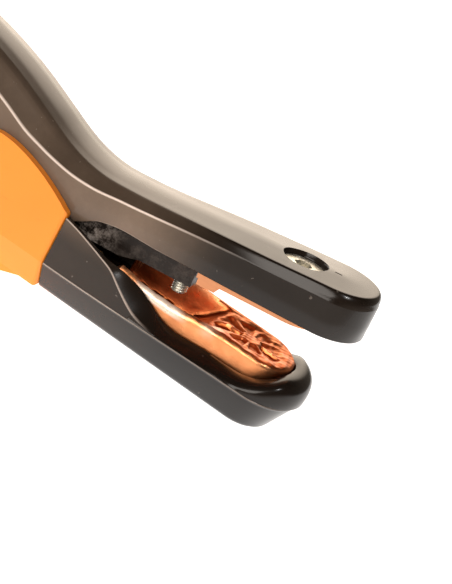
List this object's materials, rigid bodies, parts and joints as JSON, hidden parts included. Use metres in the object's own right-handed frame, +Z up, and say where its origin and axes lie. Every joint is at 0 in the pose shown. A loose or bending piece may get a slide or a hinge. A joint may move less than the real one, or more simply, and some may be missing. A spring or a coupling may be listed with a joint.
{
  "type": "electrode holder",
  "caption": "Lever-jaw stick-welding electrode holder: insulated copper jaws on a sprung lever and a hollow cable handle.",
  "frame": {"origin": "centre of the cable entry on the handle's rear face", "axes": "+X along the handle towards the jaws, +Z up on the lever side, +Y to the left seen from the rear"},
  "size_m": [0.2661, 0.042, 0.0665],
  "materials": {
    "orange_plastic": "moulded satin gloss",
    "black_plastic": "moulded satin gloss, dusty",
    "copper_cast": "cast copper, bright and slightly tarnished",
    "brass_cast": "cast brass",
    "core_cast": "dark cast, dusty",
    "steel_zinc": "zinc plated",
    "spring_steel": "bright steel",
    "seat_nylon": "moulded"
  },
  "bodies": {
    "handle": {"handle_housing": "orange_plastic", "end_collar": "black_plastic", "conductor": "brass_cast", "cable_clamp_screws": "steel_zinc", "handle_lock_screw": "steel_zinc", "lower_jaw_copper": "copper_cast", "lower_jaw_cover": "black_plastic", "lower_jaw_screws": "steel_zinc", "lower_cover_screw": "steel_zinc", "pivot_pin": "steel_zinc", "pivot_caps": "orange_plastic", "spring_seat": "seat_nylon", "spring": "spring_steel"},
    "lever": {"lever_shell": "black_plastic", "lever_core": "core_cast", "upper_jaw_copper": "copper_cast", "upper_jaw_screw": "steel_zinc", "core_screws": "steel_zinc", "pivot_bushes": "seat_nylon", "lever_arm": "spring_steel", "lever_arm_screws": "steel_zinc", "lever_rear_screw": "steel_zinc", "spring_guide": "seat_nylon"}
  },
  "joints": [
    {"name": "lever_pivot", "type": "hinge", "parent": "handle", "child": "lever", "pos_m": [0.146, 0, 0.0083], "axis": [0, -1, 0], "range_deg": [-8, 8], "stiffness_Nm_per_rad": 2.5, "springref_deg": -51.57, "deforming": ["spring"]}
  ]
}
